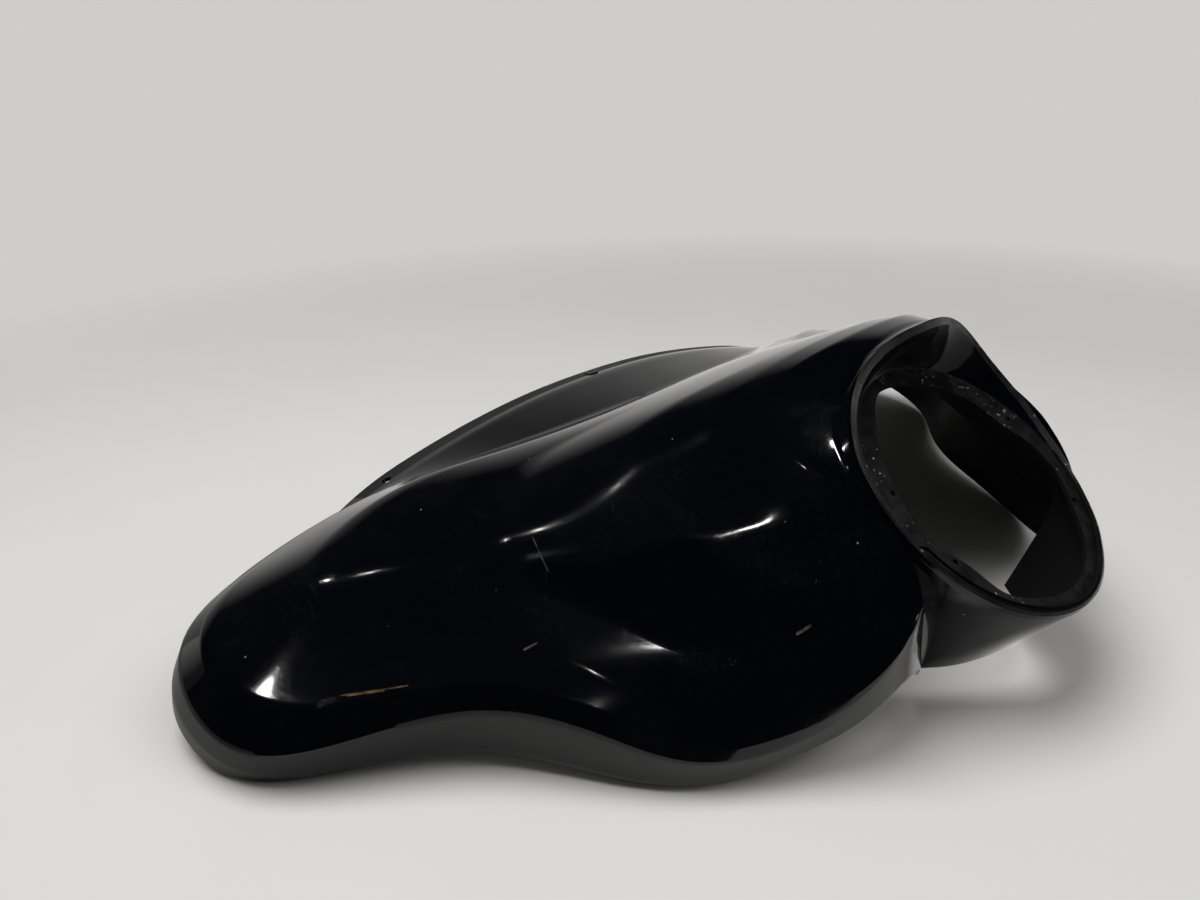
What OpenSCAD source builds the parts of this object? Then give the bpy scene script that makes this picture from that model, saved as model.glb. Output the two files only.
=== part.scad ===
// Front fairing shell of a motorcycle: a headlight nacelle with a hooded visor,
// two swept wings with a return skirt, and a flange for the windshield.
// It lies on the rim of its skirt, open side down, as it rests on a table.
// +X points to the nose, +Y to the rider's left and +Z up. The origin is the
// middle of the footprint, on the ground.

/* [Shell] */
// Thickness of the moulded plastic
wall = 3.5; // [3:0.5:4.5]
// Width over both wing tips
span = 930; // [890:10:980]
// From the centre of the headlight seat back to the edge of the windshield flange
reach_back = 411; // [390:3:432]
// Height of the centre of the headlight seat above the ground
seat_h = 148; // [142:2:154]

/* [Headlight seat] */
// Diameter of the seat for the headlight's trim ring
seat_d = 208; // [200:2:216]
// Angle of the headlight's axis above the ground
seat_tilt = 54; // [52:1:56]
// How far the hood stands ahead of the seat at its top
hood_reach = 50; // [40:2:56]
// Length of the nacelle's tube behind the seat, at the end of the gutter
tube_len = 92; // [80:2:100]
// Diameter of the screw holes for the headlight
lamp_screw_d = 4; // [3:0.5:5]
// Distance of those screw holes from the headlight's axis
lamp_screw_r = 91; // [90:0.5:94]

/* [Windshield flange] */
// Width of the flange that the windshield screws to
shield_flange_w = 25; // [22:1:30]
// Diameter of the screw holes for the windshield
shield_screw_d = 9; // [6:0.5:10]
// From the middle of the flange out to each outer screw hole
shield_screw_y = 246; // [236:2:252]

/* [Well nut] */
// Diameter of the rim that lies on the flange
nut_rim_d = 14; // [12:1:18]
// Thickness of that rim
nut_rim_t = 1.6; // [1:0.2:2.4]
// Length of the sleeve below the rim
nut_sleeve_len = 13; // [10:1:18]
// Diameter of its threaded hole
nut_thread_d = 5; // [4:1:6]

/* [Hidden] */

// The sizes that the guide points below were drawn at
drawn_seat_r = 104;
drawn_seat_h = 148;
drawn_tip_y = 465;
drawn_reach = 411;
drawn_hood = 50;
drawn_tube = 92;
drawn_flange_w = 25;

seat_r = seat_d / 2;
seat_k = seat_r / drawn_seat_r;
wing_k = (span / 2 - seat_r) / (drawn_tip_y - drawn_seat_r);
high_k = seat_h / drawn_seat_h;
back_k = reach_back / drawn_reach;
hood_k = hood_reach / drawn_hood;
tube_k = tube_len / drawn_tube;
axis = [cos(seat_tilt), 0, sin(seat_tilt)];
brow = [-sin(seat_tilt), 0, cos(seat_tilt)];

// Steps between neighbouring guide points, along the ribs and around the rows
row_steps = 2;
rib_steps = 3;

// Guide points around the headlight's axis, for one half, from the top of the
// nacelle round to its underside: angle from the top, radius, and how far ahead
// of the seat's plane.
lip = [
    [0, 108, 50], [15, 112, 48], [30, 122, 41], [43, 126, 28], [54, 123, 18],
    [64, 121, 12], [73, 117, 9], [80, 115, 7], [86, 113, 5], [92, 111, 4],
    [98, 110, 3], [104, 109, 2], [110, 108, 1], [115, 108, 1], [120, 107, 1],
    [125, 107, 1], [131, 107, 1], [137, 107, 1], [150, 107, 1], [165, 107, 2],
    [180, 107, 3]
];
// The gutter between the nacelle and the wing
gutter = [
    [0, 112, 41], [15, 116, 40], [30, 124, 32], [43, 128, 19], [54, 127, 9],
    [64, 125, 4], [73, 122, 1], [80, 119, -2], [86, 117, -3], [92, 115, -4],
    [98, 112, -5], [104, 109, -7], [110, 106, -12], [115, 105, -19],
    [120, 105, -32], [125, 105, -49], [131, 105, -70], [137, 105, -92]
];
// The free edge of the tube, past the gutter's end
tube_edge = [[150, 105, -82], [165, 105, -60], [180, 105, -46]];
// The opening's edge, cut by hand: its radius at each angle of the lip, for the
// rider's left half and then for the right
opening_left = [
    92, 88, 85, 84, 83, 79, 77, 80, 84, 87, 88, 89, 90, 89, 88, 87, 87, 88, 92, 93, 93
];
opening_right = [
    92, 95, 88, 87, 86, 85, 86, 88, 90, 93, 94, 91, 87, 86, 87, 89, 93, 95, 94, 93, 93
];

// Guide points of the left wing, from the top of the nacelle along the gutter to
// its end, row by row outwards; ahead of the seat's centre, to the left, and
// above the ground.
shoulder = [
    [-92, 0, 245], [-95, 56, 241], [-107, 97, 226], [-106, 126, 208],
    [-84, 134, 196], [-58, 131, 185], [-36, 127, 175], [-18, 122, 167],
    [-5, 119, 159], [3, 119, 150], [10, 119, 142], [15, 119, 135],
    [19, 119, 129], [22, 120, 122], [25, 121, 116], [26, 122, 111],
    [27, 124, 116], [9, 75, 31]
];
shoulder_back = [
    [-114, 0, 238], [-119, 60, 233], [-132, 104, 217], [-138, 138, 201],
    [-120, 150, 190], [-97, 152, 183], [-68, 145, 174], [-38, 135, 167],
    [-18, 128, 159], [-9, 128, 149], [0, 127, 140], [7, 126, 132],
    [12, 125, 126], [18, 125, 119], [22, 126, 113], [26, 127, 108],
    [28, 126, 114], [10, 77, 33]
];
upper = [
    [-140, 0, 227], [-145, 64, 221], [-166, 112, 205], [-184, 152, 188],
    [-176, 172, 179], [-163, 186, 169], [-152, 196, 160], [-139, 203, 152],
    [-108, 196, 148], [-88, 191, 141], [-70, 187, 133], [-46, 180, 124],
    [-22, 168, 114], [4, 152, 104], [20, 140, 98], [26, 133, 101],
    [29, 127, 112], [11, 79, 34]
];
middle = [
    [-200, 0, 200], [-205, 70, 193], [-228, 126, 176], [-250, 176, 158],
    [-252, 206, 151], [-246, 229, 144], [-239, 250, 137], [-229, 267, 130],
    [-206, 272, 124], [-187, 272, 116], [-162, 262, 106], [-128, 249, 96],
    [-82, 231, 84], [-14, 191, 78], [17, 157, 80], [26, 139, 94],
    [29, 128, 110], [12, 81, 36]
];
lower = [
    [-232, 0, 184], [-238, 72, 177], [-262, 132, 161], [-290, 190, 147],
    [-312, 238, 141], [-324, 280, 133], [-319, 327, 121], [-304, 358, 115],
    [-278, 372, 106], [-246, 362, 94], [-210, 334, 85], [-166, 300, 82],
    [-102, 269, 70], [-38, 238, 41], [9, 178, 56], [25, 147, 84],
    [29, 129, 107], [13, 83, 37]
];
rim = [
    [-268, 0, 164], [-274, 70, 157], [-294, 138, 146], [-320, 200, 136],
    [-350, 256, 124], [-373, 315, 104], [-372, 373, 90], [-348, 426, 87],
    [-298, 450, 72], [-246, 440, 54], [-201, 378, 64], [-160, 326, 76],
    [-98, 286, 63], [-43, 251, 27], [7, 184, 47], [24, 150, 78],
    [29, 129, 103], [14, 85, 38]
];
skirt_top = [
    [-318, 0, 131], [-324, 70, 129], [-338, 140, 123], [-354, 208, 118],
    [-370, 262, 110], [-389, 323, 87], [-391, 385, 74], [-358, 448, 67],
    [-294, 466, 46], [-238, 450, 28], [-195, 384, 45], [-155, 331, 58],
    [-96, 292, 50], [-41, 255, 19], [5, 185, 39], [23, 151, 69],
    [28, 129, 94], [15, 88, 40]
];
skirt_low = [
    [-387, 0, 138], [-387, 72, 136], [-386, 147, 127], [-383, 218, 114],
    [-380, 264, 104], [-401, 327, 72], [-402, 391, 56], [-367, 454, 45],
    [-305, 469, 29], [-248, 452, 8], [-204, 383, 13], [-164, 327, 17],
    [-104, 291, 9], [-46, 254, 1], [3, 183, 27], [20, 152, 47],
    [25, 128, 62], [16, 91, 42]
];
flange_root = [
    [-394, 0, 137], [-394, 73, 135], [-393, 148, 126], [-390, 219, 113],
    [-387, 266, 102], [-403, 328, 68], [-403, 392, 52], [-368, 455, 41],
    [-307, 469, 25], [-251, 452, 4], [-207, 382, 10], [-167, 325, 14],
    [-106, 290, 7], [-48, 254, -1], [2, 183, 25], [19, 152, 45],
    [24, 128, 60], [17, 93, 43]
];
edge = [
    [-411, 0, 134], [-411, 75, 132], [-410, 150, 123], [-407, 222, 110],
    [-404, 270, 98], [-409, 330, 60], [-406, 394, 43], [-371, 456, 31],
    [-311, 469, 14], [-258, 452, -4], [-214, 379, 3], [-173, 320, 8],
    [-112, 288, 2], [-54, 253, -6], [-4, 181, 19], [14, 151, 40],
    [20, 127, 54], [16, 92, 40]
];

// A point given around the headlight's axis
function around(p) = [0, 0, seat_h] + axis * p[2] + brow * (p[1] * cos(p[0])) + [0, p[1] * sin(p[0]), 0];
function sized(p) = [p[0], p[1] * seat_k, p[2] * (p[2] > 0 ? hood_k : tube_k)];
// A wing point, stretched from the drawn size to the size asked for
function stretch_y(y) = y < drawn_seat_r ? y * seat_k : seat_r + (y - drawn_seat_r) * wing_k;
function placed(p) = [p[0] * (p[0] < 0 ? back_k : 1), stretch_y(p[1]), p[2] * high_k];
function widened(p) = placed(p) + [(drawn_flange_w - shield_flange_w) * 0.98, 0, 0];

// The left half in reverse, then the right half: a row from wing end to wing end
function mirror_y(p) = [p[0], -p[1], p[2]];
function whole(row) = concat(
    [for (i = [len(row) - 1 : -1 : 0]) row[i]],
    [for (i = [1 : len(row) - 1]) mirror_y(row[i])]
);
// The same around the whole nacelle, with the underside last
wing_last = len(gutter) - 1;
ring_last = len(lip) - 1;
function whole_ring(row) = concat(
    [for (i = [wing_last : -1 : 0]) row[i]],
    [for (i = [1 : ring_last]) mirror_y(row[i])],
    [for (i = [ring_last - 1 : -1 : wing_last + 1]) row[i]]
);

// Cubic curve through the zone of four guide points
function cubic(a, b, c, d, u) = (
    a * pow(1 - u, 3)
    + b * (3 * pow(u, 3) - 6 * pow(u, 2) + 4)
    + c * (-3 * pow(u, 3) + 3 * pow(u, 2) + 3 * u + 1)
    + d * pow(u, 3)
) / 6;
// Smooth open row that keeps both its ends
function smooth(p, k) = let (
    n = len(p),
    q = concat([2 * p[0] - p[1]], p, [2 * p[n - 1] - p[n - 2]])
) concat(
    [for (i = [0 : n - 2], j = [0 : k - 1]) cubic(q[i], q[i + 1], q[i + 2], q[i + 3], j / k)],
    [p[n - 1]]
);
// Smooth closed ring
function smooth_ring(p, k) = let (n = len(p)) [
    for (i = [0 : n - 1], j = [0 : k - 1])
        cubic(p[(i + n - 1) % n], p[i], p[(i + 1) % n], p[(i + 2) % n], j / k)
];

// Rows of the wings, smoothed lengthways and then across
gutter_row = smooth(whole([for (p = gutter) around(sized(p))]), rib_steps);
wing_rows = concat([gutter_row], [
    for (row = [shoulder, shoulder_back, upper, middle, lower, rim, skirt_top, skirt_low, flange_root])
        smooth(whole([for (p = row) placed(p)]), rib_steps),
    smooth(whole([for (p = edge) widened(p)]), rib_steps)
]);
wing_n = len(gutter_row);
wing = [for (j = [0 : wing_n - 1]) smooth([for (row = wing_rows) row[j]], row_steps)];
rows_n = len(wing[0]);

// Rings of the nacelle, from the opening outwards to the gutter
function lip_ring(dr, da) = smooth_ring(
    whole_ring([for (p = lip) around(sized([p[0], p[1] + dr, p[2] + da]))]), rib_steps
);
function flat_ring(radii, a) = smooth_ring([
    for (i = [wing_last : -1 : 0]) around([lip[i][0], radii[0][i], a]),
    for (i = [1 : ring_last]) around([-lip[i][0], radii[1][i], a]),
    for (i = [ring_last - 1 : -1 : wing_last + 1]) around([lip[i][0], radii[0][i], a])
], rib_steps);
opening = seat_k * [opening_left, opening_right];
plain_seat = [for (side = [0, 1]) [for (p = lip) seat_r]];
opening_ring = flat_ring(opening, 0);
seat_ring = flat_ring(plain_seat, 0);
tube_row = [for (p = tube_edge) around(sized(p))];
tube_ends = [mirror_y(gutter_row[0]), gutter_row[0]];
tube_curve = smooth(concat(
    [tube_ends[0]],
    [for (p = tube_row) mirror_y(p)],
    [tube_row[1], tube_row[0], tube_ends[1]]
), rib_steps);
ring_n = len(seat_ring);
outer_ring = concat(gutter_row, [for (i = [1 : len(tube_curve) - 2]) tube_curve[i]]);
lip_rings = [seat_ring, lip_ring(-6, -3), lip_ring(-2, 0), lip_ring(0, -1), lip_ring(1, -4), outer_ring];
nacelle = [
    for (s = [0 : ring_n - 1])
        concat([opening_ring[s]], smooth([for (ring = lip_rings) ring[s]], 2))
];
rings_n = len(nacelle[0]);

// Direction square to the surface at a point of a grid
function unit(v) = v / norm(v);
function across(g, j, i, n) = g[j][min(i + 1, n - 1)] - g[j][max(i - 1, 0)];
function wing_normal(j, i) = unit(cross(
    across(wing, j, i, rows_n),
    wing[min(j + 1, wing_n - 1)][i] - wing[max(j - 1, 0)][i]
));
function nacelle_normal(s) = let (i = rings_n - 1) unit(cross(
    nacelle[s][i] - nacelle[s][i - 1],
    nacelle[(s + 1) % ring_n][i] - nacelle[(s + ring_n - 1) % ring_n][i]
));
function mitre(a, b) = (a + b) / max(0.6, 1 + a * b);
function gutter_offset(s) = s < wing_n
    ? mitre(wing_normal(s, 0), nacelle_normal(s))
    : nacelle_normal(s);

// Hidden side of the nacelle: behind the flange, up the back of the recess and
// over to the back of the gutter
function radius_of(p) = let (v = p - [0, 0, seat_h]) norm(v - axis * (v * axis));
function ahead_of(p) = (p - [0, 0, seat_h]) * axis;
function ray_of(p) = let (v = p - [0, 0, seat_h]) unit(v - axis * (v * axis));
function set_out(p, r, a) = [0, 0, seat_h] + axis * a + ray_of(p) * r;
function back_of(s) = let (
    gut = outer_ring[s] - wall * gutter_offset(s),
    top = lip_rings[1][s],
    corner_r = min(seat_r + 1.5, min(radius_of(gut), radius_of(lip_rings[4][s]) - wall)),
    corner = set_out(seat_ring[s], corner_r, -wall),
    slant = unit([radius_of(top) - seat_r, ahead_of(top)]),
    high = set_out(top,
        seat_r + 0.6 * (radius_of(top) - seat_r) + wall * slant[1],
        0.6 * ahead_of(top) - wall * slant[0]),
    share = min(1, max(0, (ahead_of(top) - 8) / 10))
) [
    opening_ring[s] - wall * axis,
    corner,
    high * share + (corner + gut) / 2 * (1 - share),
    gut
];
nacelle_back = [for (s = [0 : ring_n - 1]) back_of(s)];

// All points: the nacelle's front and back, then the wings' front and back
wing_back = [
    for (j = [0 : wing_n - 1])
        [for (i = [1 : rows_n - 1]) wing[j][i] - wall * wing_normal(j, i)]
];
points = concat(
    [for (ring = nacelle, p = ring) p],
    [for (ring = nacelle_back, p = ring) p],
    [for (rib = wing, i = [1 : rows_n - 1]) rib[i]],
    [for (rib = wing_back, p = rib) p]
);
back_start = ring_n * rings_n;
wing_start = back_start + ring_n * 4;
wing_back_start = wing_start + wing_n * (rows_n - 1);
function front_at(s, q) = (s % ring_n) * rings_n + q;
function back_at(s, q) = back_start + (s % ring_n) * 4 + q;
function wing_at(j, i) = i == 0 ? front_at(j, rings_n - 1) : wing_start + j * (rows_n - 1) + i - 1;
function wing_back_at(j, i) = i == 0 ? back_at(j, 3) : wing_back_start + j * (rows_n - 1) + i - 1;

// Two triangles for each four-sided patch
function patch(a, b, c, d) = [[a, b, c], [a, c, d]];
faces = [
    for (s = [0 : ring_n - 1]) each [
        for (q = [0 : rings_n - 2])
            each patch(front_at(s, q), front_at(s + 1, q), front_at(s + 1, q + 1), front_at(s, q + 1)),
        for (q = [0 : 2])
            each patch(back_at(s, q), back_at(s, q + 1), back_at(s + 1, q + 1), back_at(s + 1, q)),
        each patch(front_at(s, 0), back_at(s, 0), back_at(s + 1, 0), front_at(s + 1, 0))
    ],
    for (s = [wing_n - 1 : ring_n - 1])
        each patch(front_at(s, rings_n - 1), front_at(s + 1, rings_n - 1), back_at(s + 1, 3), back_at(s, 3)),
    for (j = [0 : wing_n - 2]) each [
        for (i = [0 : rows_n - 2]) each [
            each patch(wing_at(j, i), wing_at(j + 1, i), wing_at(j + 1, i + 1), wing_at(j, i + 1)),
            each patch(wing_back_at(j, i), wing_back_at(j, i + 1), wing_back_at(j + 1, i + 1), wing_back_at(j + 1, i))
        ],
        each patch(wing_at(j, rows_n - 1), wing_at(j + 1, rows_n - 1),
            wing_back_at(j + 1, rows_n - 1), wing_back_at(j, rows_n - 1))
    ],
    for (i = [0 : rows_n - 2]) each [
        each patch(wing_at(0, i), wing_at(0, i + 1), wing_back_at(0, i + 1), wing_back_at(0, i)),
        each patch(wing_at(wing_n - 1, i + 1), wing_at(wing_n - 1, i),
            wing_back_at(wing_n - 1, i), wing_back_at(wing_n - 1, i + 1))
    ]
];

// Moves the shell onto the middle of its footprint
low = min([for (p = points) p[2]]);
front = max([for (p = points) p[0]]);
rear = min([for (p = points) p[0]]);
home = [-(front + rear) / 2, 0, -low];

// Where the windshield screws go, and the direction that they point. The flange
// leans up towards its free edge and falls off to both sides.
flange_lean = 9.8;
flange_fall = 14;
mid_screw_back = 399;
mid_screw_up = 135.5;
outer_screw_back = 393;
outer_screw_up = 106;
function flange_point(y, back, up) = [
    (drawn_flange_w - shield_flange_w) / 2 - back * back_k, y, up * high_k
];
shield_mid = flange_point(0, mid_screw_back, mid_screw_up);
shield_left = flange_point(shield_screw_y, outer_screw_back, outer_screw_up);

// Angles of the headlight screws from the top of the seat, left side positive
lamp_screw_angles = [-111, -74, 74, 124];

module lamp_screw_hole(angle) {
    translate(around([angle, lamp_screw_r * seat_k, 0]))
        rotate([0, 90 - seat_tilt, 0])
            cylinder(h = 4 * wall, d = lamp_screw_d, center = true, $fn = 48);
}

module shield_screw_hole(place, side) {
    translate(place)
        rotate([-side * flange_fall, -flange_lean, 0])
            cylinder(h = 8 * wall, d = shield_screw_d, center = true, $fn = 64);
}

// The moulded shell, in one piece
module fairing_shell() {
    color("#0b0c0d") translate(home) difference() {
        polyhedron(points = points, faces = faces, convexity = 12);
        for (angle = lamp_screw_angles) lamp_screw_hole(angle);
        shield_screw_hole(shield_mid, 0);
        shield_screw_hole(shield_left, 1);
        shield_screw_hole(mirror_y(shield_left), -1);
    }
}

// Rubber well nut left in the middle screw hole
module shield_well_nut() {
    color("#1b1a19") translate(home + shield_mid) rotate([0, -flange_lean, 0])
        difference() {
            union() {
                cylinder(h = nut_rim_t, d = nut_rim_d, $fn = 64);
                translate([0, 0, -nut_sleeve_len])
                    cylinder(h = nut_sleeve_len + 0.1, d = shield_screw_d - 0.2, $fn = 64);
            }
            cylinder(h = 4 * nut_sleeve_len, d = nut_thread_d, center = true, $fn = 48);
        }
}

fairing_shell();
shield_well_nut();
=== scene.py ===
import math

import bmesh
import bpy
from bpy.props import FloatProperty, FloatVectorProperty, IntProperty, PointerProperty
from mathutils import Matrix, Vector


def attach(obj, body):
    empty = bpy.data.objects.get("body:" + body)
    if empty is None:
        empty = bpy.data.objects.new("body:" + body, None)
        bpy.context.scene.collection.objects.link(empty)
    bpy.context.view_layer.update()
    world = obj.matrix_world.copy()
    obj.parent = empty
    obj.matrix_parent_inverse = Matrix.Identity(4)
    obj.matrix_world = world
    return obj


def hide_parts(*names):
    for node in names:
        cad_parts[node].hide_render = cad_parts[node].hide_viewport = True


bl_info = {
    "name": "Motorcycle Fairing Shell",
    "version": (1, 0, 0),
    "blender": (4, 5, 0),
    "location": "View3D > Sidebar > Fairing",
    "description": "Models a gloss black front fairing shell as it lies on a table",
    "category": "Object",
}

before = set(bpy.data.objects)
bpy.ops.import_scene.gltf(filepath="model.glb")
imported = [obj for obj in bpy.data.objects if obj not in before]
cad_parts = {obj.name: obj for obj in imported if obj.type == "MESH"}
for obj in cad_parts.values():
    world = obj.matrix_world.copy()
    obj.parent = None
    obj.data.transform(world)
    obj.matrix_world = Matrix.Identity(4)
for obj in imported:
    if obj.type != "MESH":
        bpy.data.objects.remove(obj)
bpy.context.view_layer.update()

MM = 0.001
# The guide points are drawn from the headlight seat, above the ground. This moves
# them onto the middle of the shell's footprint.
HOME = Vector((162.384, 0.0, 1.716)) * MM
SEAT_HEIGHT = 148.0
SEAT_TILT = math.radians(54.0)
AXIS = Vector((math.cos(SEAT_TILT), 0.0, math.sin(SEAT_TILT)))
BROW = Vector((-math.sin(SEAT_TILT), 0.0, math.cos(SEAT_TILT)))

# Around the headlight's axis, for one half, from the top of the nacelle round to
# its underside: angle from the top, radius, and distance ahead of the seat.
LIP = (
    (0, 108, 50), (15, 112, 48), (30, 122, 41), (43, 126, 28), (54, 123, 18),
    (64, 121, 12), (73, 117, 9), (80, 115, 7), (86, 113, 5), (92, 111, 4),
    (98, 110, 3), (104, 109, 2), (110, 108, 1), (115, 108, 1), (120, 107, 1),
    (125, 107, 1), (131, 107, 1), (137, 107, 1), (150, 107, 1), (165, 107, 2),
    (180, 107, 3),
)
GUTTER = (
    (0, 112, 41), (15, 116, 40), (30, 124, 32), (43, 128, 19), (54, 127, 9),
    (64, 125, 4), (73, 122, 1), (80, 119, -2), (86, 117, -3), (92, 115, -4),
    (98, 112, -5), (104, 109, -7), (110, 106, -12), (115, 105, -19),
    (120, 105, -32), (125, 105, -49), (131, 105, -70), (137, 105, -92),
    (150, 105, -82), (165, 105, -60), (180, 105, -46),
)
# The hand-cut edge of the opening: its radius at those angles
OPENING_LEFT = (
    92, 88, 85, 84, 83, 79, 77, 80, 84, 87, 88, 89, 90, 89, 88, 87, 87, 88, 92, 93, 93,
)
OPENING_RIGHT = (
    92, 95, 88, 87, 86, 85, 86, 88, 90, 93, 94, 91, 87, 86, 87, 89, 93, 95, 94, 93, 93,
)

# Rows of the left wing, from the top of the nacelle along the gutter to its end
SHOULDER = (
    (-92, 0, 245), (-95, 56, 241), (-107, 97, 226), (-106, 126, 208),
    (-84, 134, 196), (-58, 131, 185), (-36, 127, 175), (-18, 122, 167),
    (-5, 119, 159), (3, 119, 150), (10, 119, 142), (15, 119, 135),
    (19, 119, 129), (22, 120, 122), (25, 121, 116), (26, 122, 111),
    (27, 124, 116), (9, 75, 31),
)
SHOULDER_BACK = (
    (-114, 0, 238), (-119, 60, 233), (-132, 104, 217), (-138, 138, 201),
    (-120, 150, 190), (-97, 152, 183), (-68, 145, 174), (-38, 135, 167),
    (-18, 128, 159), (-9, 128, 149), (0, 127, 140), (7, 126, 132),
    (12, 125, 126), (18, 125, 119), (22, 126, 113), (26, 127, 108),
    (28, 126, 114), (10, 77, 33),
)
UPPER = (
    (-140, 0, 227), (-145, 64, 221), (-166, 112, 205), (-184, 152, 188),
    (-176, 172, 179), (-163, 186, 169), (-152, 196, 160), (-139, 203, 152),
    (-108, 196, 148), (-88, 191, 141), (-70, 187, 133), (-46, 180, 124),
    (-22, 168, 114), (4, 152, 104), (20, 140, 98), (26, 133, 101),
    (29, 127, 112), (11, 79, 34),
)
MIDDLE = (
    (-200, 0, 200), (-205, 70, 193), (-228, 126, 176), (-250, 176, 158),
    (-252, 206, 151), (-246, 229, 144), (-239, 250, 137), (-229, 267, 130),
    (-206, 272, 124), (-187, 272, 116), (-162, 262, 106), (-128, 249, 96),
    (-82, 231, 84), (-14, 191, 78), (17, 157, 80), (26, 139, 94),
    (29, 128, 110), (12, 81, 36),
)
LOWER = (
    (-232, 0, 184), (-238, 72, 177), (-262, 132, 161), (-290, 190, 147),
    (-312, 238, 141), (-324, 280, 133), (-319, 327, 121), (-304, 358, 115),
    (-278, 372, 106), (-246, 362, 94), (-210, 334, 85), (-166, 300, 82),
    (-102, 269, 70), (-38, 238, 41), (9, 178, 56), (25, 147, 84),
    (29, 129, 107), (13, 83, 37),
)
RIM = (
    (-268, 0, 164), (-274, 70, 157), (-294, 138, 146), (-320, 200, 136),
    (-350, 256, 124), (-373, 315, 104), (-372, 373, 90), (-348, 426, 87),
    (-298, 450, 72), (-246, 440, 54), (-201, 378, 64), (-160, 326, 76),
    (-98, 286, 63), (-43, 251, 27), (7, 184, 47), (24, 150, 78),
    (29, 129, 103), (14, 85, 38),
)
SKIRT_TOP = (
    (-318, 0, 131), (-324, 70, 129), (-338, 140, 123), (-354, 208, 118),
    (-370, 262, 110), (-389, 323, 87), (-391, 385, 74), (-358, 448, 67),
    (-294, 466, 46), (-238, 450, 28), (-195, 384, 45), (-155, 331, 58),
    (-96, 292, 50), (-41, 255, 19), (5, 185, 39), (23, 151, 69),
    (28, 129, 94), (15, 88, 40),
)
SKIRT_LOW = (
    (-387, 0, 138), (-387, 72, 136), (-386, 147, 127), (-383, 218, 114),
    (-380, 264, 104), (-401, 327, 72), (-402, 391, 56), (-367, 454, 45),
    (-305, 469, 29), (-248, 452, 8), (-204, 383, 13), (-164, 327, 17),
    (-104, 291, 9), (-46, 254, 1), (3, 183, 27), (20, 152, 47),
    (25, 128, 62), (16, 91, 42),
)
FLANGE_ROOT = (
    (-394, 0, 137), (-394, 73, 135), (-393, 148, 126), (-390, 219, 113),
    (-387, 266, 102), (-403, 328, 68), (-403, 392, 52), (-368, 455, 41),
    (-307, 469, 25), (-251, 452, 4), (-207, 382, 10), (-167, 325, 14),
    (-106, 290, 7), (-48, 254, -1), (2, 183, 25), (19, 152, 45),
    (24, 128, 60), (17, 93, 43),
)
EDGE = (
    (-411, 0, 134), (-411, 75, 132), (-410, 150, 123), (-407, 222, 110),
    (-404, 270, 98), (-409, 330, 60), (-406, 394, 43), (-371, 456, 31),
    (-311, 469, 14), (-258, 452, -4), (-214, 379, 3), (-173, 320, 8),
    (-112, 288, 2), (-54, 253, -6), (-4, 181, 19), (14, 151, 40),
    (20, 127, 54), (16, 92, 40),
)
STATIONS = len(SHOULDER)
WING_ROWS = (
    SHOULDER, SHOULDER_BACK, UPPER, MIDDLE, LOWER,
    RIM, SKIRT_TOP, SKIRT_LOW, FLANGE_ROOT, EDGE,
)

# From the gutter over the lip and into the recess: out from the lip's radius, and
# ahead of it. The last two steps are rubbed.
LIP_ROLL = ((1, -4), (0, -1), (-2, 0), (-6, -3))
RUBBED_STEPS = (2, 3)
SEAT_RADIUS = 104.0
GUTTER_CREASE = 1.0
SEAT_CREASE = 0.9

# The windshield flange is the strip of the last row behind this line, in metres
FLANGE_FRONT = -0.22
FLANGE_HALF_WIDTH = 0.262
FLANGE_LEAN = math.radians(9.8)
FLANGE_FALL = math.radians(14.0)

# Screw holes: angles around the headlight's axis, and places on the windshield
# flange with the side they lie on
LAMP_SCREWS = (-74, -111, 74, 124)
LAMP_SCREW_RADIUS = 91.0
LAMP_DRILL_LENGTH = 0.014
SHIELD_SCREWS = ((-399, 0, 135.5, 0), (-393, 246, 106, 1), (-393, -246, 106, -1))
SHIELD_DRILL_LENGTH = 0.028

# The well nut's section: radius, and height over the flange
NUT_PROFILE = (
    (2.5, 1.3), (2.8, 1.6), (5.9, 1.6), (6.7, 1.3), (7.0, 0.7), (6.9, 0.1), (4.4, 0.0),
    (4.4, -4.0), (4.25, -8.0), (4.4, -12.4), (4.0, -13.0), (2.8, -13.0), (2.5, -12.7),
)
NUT_STEPS = 48

# Where the part ends to the front and above, in the shared frame
BOX_FRONT = 0.2486
BOX_TOP = 0.2520

# The shell's material slots. Each is followed by the slot of its inner side.
GLOSS_SLOT, FLANGE_SLOT, LIP_SLOT, RING_SLOT = 0, 2, 4, 6
SHELL_SHARP = math.radians(38)
NUT_SHARP = math.radians(40)

# The way the near wing's face looks out
FACE = Vector((0.47, -0.48, 0.74)).normalized()

# Scratches and scuffs: from, to, half width, colour, strength
WEAR = (
    ((-221, -392, 62), (-195, -358, 64), 0.0007, (0.12, 0.075, 0.035), 0.7),
    ((-218, -388, 61), (-204, -370, 62), 0.0006, (0.16, 0.10, 0.05), 0.7),
    ((-191, -254, 133), (-168, -261, 119), 0.0006, (0.06, 0.06, 0.06), 0.6),
    ((-227, -403, 58), (-223, -396, 60), 0.0030, (0.03, 0.03, 0.032), 0.4),
    ((-25, -181, 98), (-21, -174, 102), 0.0012, (0.12, 0.11, 0.09), 0.8),
    ((-150, -300, 88), (-147, -292, 90), 0.0010, (0.10, 0.09, 0.08), 0.6),
)

# Two places of the gloss face where its reflection is turned down as painted shade,
# each limit from where the painted shade starts to where it is full, in metres: the band
# under the nacelle's rim, from the ground under the seat, and the recess inside the hood, from the
# seat
BAND_AHEAD = (0.002, 0.006)
BAND_ACROSS = (0.1275, 0.1262)
BAND_BOTTOM = (-0.047, -0.044)
BAND_TOP = (0.112, 0.104)
RECESS_RADIUS = (0.1195, 0.1180)
RECESS_BOTTOM = (0.02, 0.04)
# The face's shine, and the lower shine of its painted shade
GLOSS_SHINE, PAINTED_SHADE_SHINE = 0.5, 0.12

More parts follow.
